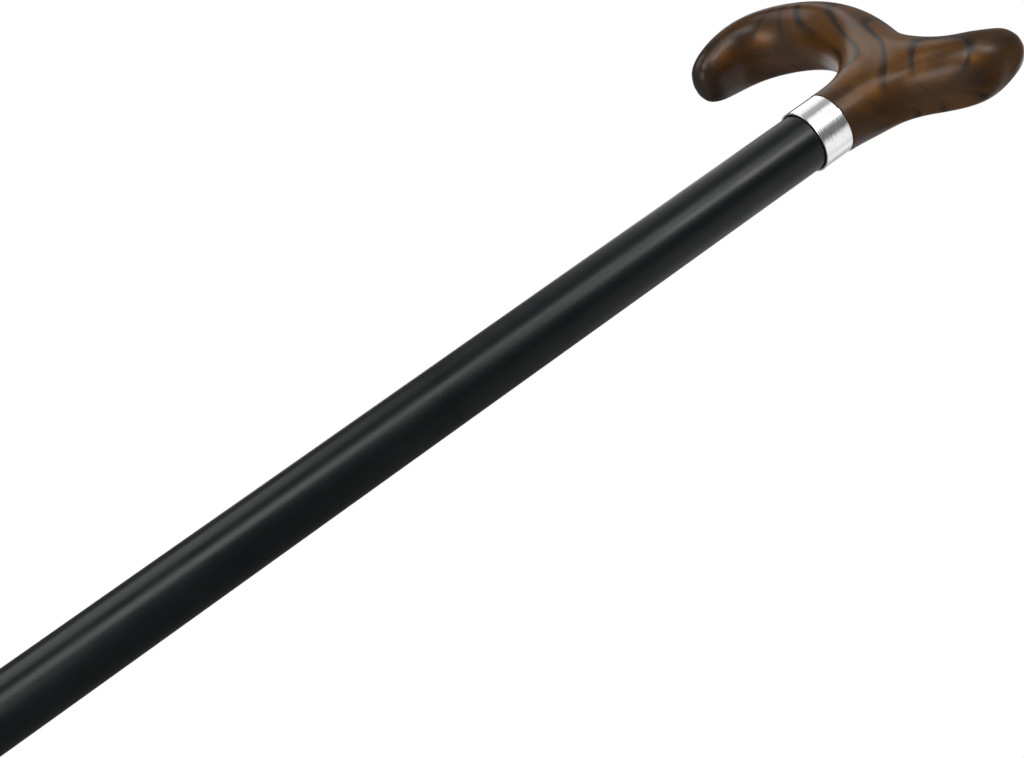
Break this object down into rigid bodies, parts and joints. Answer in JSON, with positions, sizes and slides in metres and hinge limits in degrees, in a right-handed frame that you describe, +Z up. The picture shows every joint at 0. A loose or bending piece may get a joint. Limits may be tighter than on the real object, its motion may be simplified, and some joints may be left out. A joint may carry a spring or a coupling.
{
  "type": "derby cane",
  "caption": "Height-adjustable derby cane: a carved figured-wood handle, a polished collar, a black telescopic shaft with a snap button and a lock nut, and a rubber ferrule.",
  "frame": {"origin": "centre of the ferrule's sole, on the floor", "axes": "+Z up along the tubes, +X towards the handle's nose, +Y to the left of it"},
  "size_m": [0.1368, 0.036, 0.8723],
  "materials": {
    "figured_wood": "dark brown wood with black figure lines under a satin lacquer",
    "polished_aluminium": "bright polished with fine turning scratches",
    "satin_black": "black satin anodised",
    "black_plastic": "moulded, finely textured",
    "natural_nylon": "moulded, smooth",
    "zinc_steel": "zinc plated",
    "brass": "turned",
    "black_rubber": "matt, lightly dusty"
  },
  "bodies": {
    "lower_shaft": {"ferrule": "black_rubber", "ferrule_disc": "zinc_steel", "lower_tube": "satin_black", "slide_bush": "natural_nylon", "leaf_spring": "zinc_steel"},
    "upper_shaft": {"upper_tube": "satin_black", "thread_sleeve": "black_plastic", "tube_plug": "polished_aluminium", "plug_washer": "zinc_steel", "spring_washer": "zinc_steel", "plug_nut": "zinc_steel", "set_screw_left": "zinc_steel", "set_screw_right": "zinc_steel", "handle_stud": "zinc_steel", "handle_insert": "brass", "collar": "polished_aluminium", "handle": "figured_wood"},
    "button": {"snap_button": "zinc_steel"},
    "grip": {"grip_ring": "natural_nylon"},
    "lock_nut": {"lock_nut": "black_plastic"}
  },
  "joints": [
    {"name": "height_adjust", "type": "slide", "parent": "lower_shaft", "child": "upper_shaft", "axis": [0, 0, 1], "range_m": [-0.075, 0.075]},
    {"name": "button_press", "type": "slide", "parent": "lower_shaft", "child": "button", "axis": [1, 0, 0], "range_m": [0, 0.0037], "stiffness_N_per_m": 1500, "springref_m": -0.002, "deforming": ["leaf_spring"]},
    {"name": "nut_travel", "type": "slide", "parent": "upper_shaft", "child": "grip", "axis": [0, 0, 1], "range_m": [-0.002, 0]},
    {"name": "lock_nut_turn", "type": "hinge", "parent": "grip", "child": "lock_nut", "pos_m": [0, 0, 0.2391], "axis": [0, 0, 1], "range_deg": [-360, 0]}
  ],
  "couplings": [
    {"joint": "nut_travel", "follows": "lock_nut_turn", "m_per_rad": 0.0003183}
  ]
}
